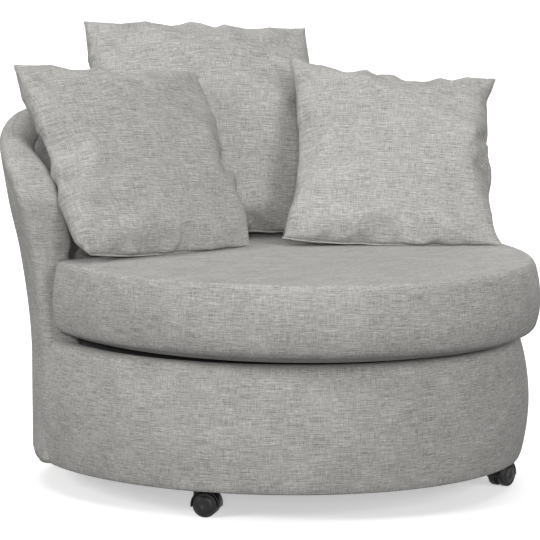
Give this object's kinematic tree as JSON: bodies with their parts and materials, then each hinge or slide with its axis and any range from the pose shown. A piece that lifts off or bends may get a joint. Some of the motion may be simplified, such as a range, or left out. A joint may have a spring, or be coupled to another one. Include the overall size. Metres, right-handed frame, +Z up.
{
  "type": "cuddle chair",
  "caption": "Round upholstered cuddle chair with a flared barrel back, deep rounded seat cushion, loose pillows and hooded twin-wheel casters under a padded base.",
  "frame": {"origin": "on the floor under the middle of the whole chair's box", "axes": "+X across the chair towards the right arm as the front is faced, -Y towards the front of the seat, +Z up"},
  "size_m": [1.1376, 1.2072, 0.9337],
  "materials": {
    "plywood": "birch plywood, unfinished",
    "hardwood": "sawn hardwood, unfinished",
    "fibreboard": "bent fibreboard",
    "linen_fabric": "light grey heathered linen-look weave",
    "dust_cloth": "black nonwoven cloth",
    "spring_steel": "drawn wire",
    "deck_felt": "needled felt pad",
    "seat_foam": "soft open foam",
    "pillow_fabric": "light grey heathered linen-look weave",
    "zinc_steel": "zinc plated",
    "black_hood": "moulded nylon, satin",
    "black_wheel": "moulded nylon, satin"
  },
  "bodies": {
    "chair": {"bottom_ring": "plywood", "deck_ring": "plywood", "base_post_1": "hardwood", "base_post_2": "hardwood", "base_post_3": "hardwood", "base_post_4": "hardwood", "base_post_5": "hardwood", "back_stay_1": "hardwood", "back_stay_2": "hardwood", "back_stay_3": "hardwood", "back_stay_4": "hardwood", "back_stay_5": "hardwood", "back_stay_6": "hardwood", "back_stay_7": "hardwood", "arm_board_left": "plywood", "arm_board_right": "plywood", "top_rail": "plywood", "front_board": "fibreboard", "outer_back_cover": "linen_fabric", "inner_back_pad": "linen_fabric", "edge_roll": "linen_fabric", "front_band": "linen_fabric", "dust_cover": "dust_cloth", "seat_spring_1": "spring_steel", "seat_spring_2": "spring_steel", "seat_spring_3": "spring_steel", "seat_spring_4": "spring_steel", "seat_spring_5": "spring_steel", "deck_pad": "deck_felt", "caster_plate_front_left": "zinc_steel", "caster_plate_front_right": "zinc_steel", "caster_plate_back_left": "zinc_steel", "caster_plate_back_right": "zinc_steel"},
    "seat_cushion": {"seat_cushion_cover": "linen_fabric", "seat_cushion_foam": "seat_foam"},
    "left_pillow": {"left_pillow": "pillow_fabric"},
    "right_pillow": {"right_pillow": "pillow_fabric"},
    "back_pillow": {"back_pillow": "pillow_fabric"},
    "caster_front_left": {"caster_hood_front_left": "black_hood", "caster_axle_front_left": "zinc_steel"},
    "wheel_front_left_1": {"caster_wheel_front_left_1": "black_wheel"},
    "wheel_front_left_2": {"caster_wheel_front_left_2": "black_wheel"},
    "caster_front_right": {"caster_hood_front_right": "black_hood", "caster_axle_front_right": "zinc_steel"},
    "wheel_front_right_1": {"caster_wheel_front_right_1": "black_wheel"},
    "wheel_front_right_2": {"caster_wheel_front_right_2": "black_wheel"},
    "caster_back_left": {"caster_hood_back_left": "black_hood", "caster_axle_back_left": "zinc_steel"},
    "wheel_back_left_1": {"caster_wheel_back_left_1": "black_wheel"},
    "wheel_back_left_2": {"caster_wheel_back_left_2": "black_wheel"},
    "caster_back_right": {"caster_hood_back_right": "black_hood", "caster_axle_back_right": "zinc_steel"},
    "wheel_back_right_1": {"caster_wheel_back_right_1": "black_wheel"},
    "wheel_back_right_2": {"caster_wheel_back_right_2": "black_wheel"}
  },
  "joints": [
    {"name": "seat_cushion_lift", "type": "slide", "parent": "chair", "child": "seat_cushion", "axis": [0, 0, 1], "range_m": [0, 0.25]},
    {"name": "left_pillow_lift", "type": "slide", "parent": "seat_cushion", "child": "left_pillow", "axis": [0, -0.5, 0.866], "range_m": [0, 0.2]},
    {"name": "right_pillow_lift", "type": "slide", "parent": "seat_cushion", "child": "right_pillow", "axis": [0, -0.5, 0.866], "range_m": [0, 0.2]},
    {"name": "back_pillow_lift", "type": "slide", "parent": "seat_cushion", "child": "back_pillow", "axis": [0.12, 0.48, 0.869], "range_m": [0, 0.16]},
    {"name": "caster_front_left_swivel", "type": "hinge", "parent": "chair", "child": "caster_front_left", "pos_m": [-0.35908, -0.30641, 0.055], "axis": [0, 0, 1], "continuous": true},
    {"name": "wheel_front_left_1_spin", "type": "hinge", "parent": "caster_front_left", "child": "wheel_front_left_1", "pos_m": [-0.34682, -0.31669, 0.025], "axis": [0.6425, 0.7662, 0], "continuous": true},
    {"name": "wheel_front_left_2_spin", "type": "hinge", "parent": "caster_front_left", "child": "wheel_front_left_2", "pos_m": [-0.34682, -0.31669, 0.025], "axis": [0.6425, 0.7662, 0], "continuous": true},
    {"name": "caster_front_right_swivel", "type": "hinge", "parent": "chair", "child": "caster_front_right", "pos_m": [0.32569, -0.30641, 0.055], "axis": [0, 0, 1], "continuous": true},
    {"name": "wheel_front_right_1_spin", "type": "hinge", "parent": "caster_front_right", "child": "wheel_front_right_1", "pos_m": [0.34019, -0.29965, 0.025], "axis": [-0.4223, 0.9064, 0], "continuous": true},
    {"name": "wheel_front_right_2_spin", "type": "hinge", "parent": "caster_front_right", "child": "wheel_front_right_2", "pos_m": [0.34019, -0.29965, 0.025], "axis": [-0.4223, 0.9064, 0], "continuous": true},
    {"name": "caster_back_left_swivel", "type": "hinge", "parent": "chair", "child": "caster_back_left", "pos_m": [-0.35448, 0.34973, 0.055], "axis": [0, 0, 1], "continuous": true},
    {"name": "wheel_back_left_1_spin", "type": "hinge", "parent": "caster_back_left", "child": "wheel_back_left_1", "pos_m": [-0.36706, 0.33985, 0.025], "axis": [0.6175, -0.7866, 0], "continuous": true},
    {"name": "wheel_back_left_2_spin", "type": "hinge", "parent": "caster_back_left", "child": "wheel_back_left_2", "pos_m": [-0.36706, 0.33985, 0.025], "axis": [0.6175, -0.7866, 0], "continuous": true},
    {"name": "caster_back_right_swivel", "type": "hinge", "parent": "chair", "child": "caster_back_right", "pos_m": [0.32109, 0.34973, 0.055], "axis": [0, 0, 1], "continuous": true},
    {"name": "wheel_back_right_1_spin", "type": "hinge", "parent": "caster_back_right", "child": "wheel_back_right_1", "pos_m": [0.30904, 0.36025, 0.025], "axis": [-0.6578, -0.7532, 0], "continuous": true},
    {"name": "wheel_back_right_2_spin", "type": "hinge", "parent": "caster_back_right", "child": "wheel_back_right_2", "pos_m": [0.30904, 0.36025, 0.025], "axis": [-0.6578, -0.7532, 0], "continuous": true}
  ]
}
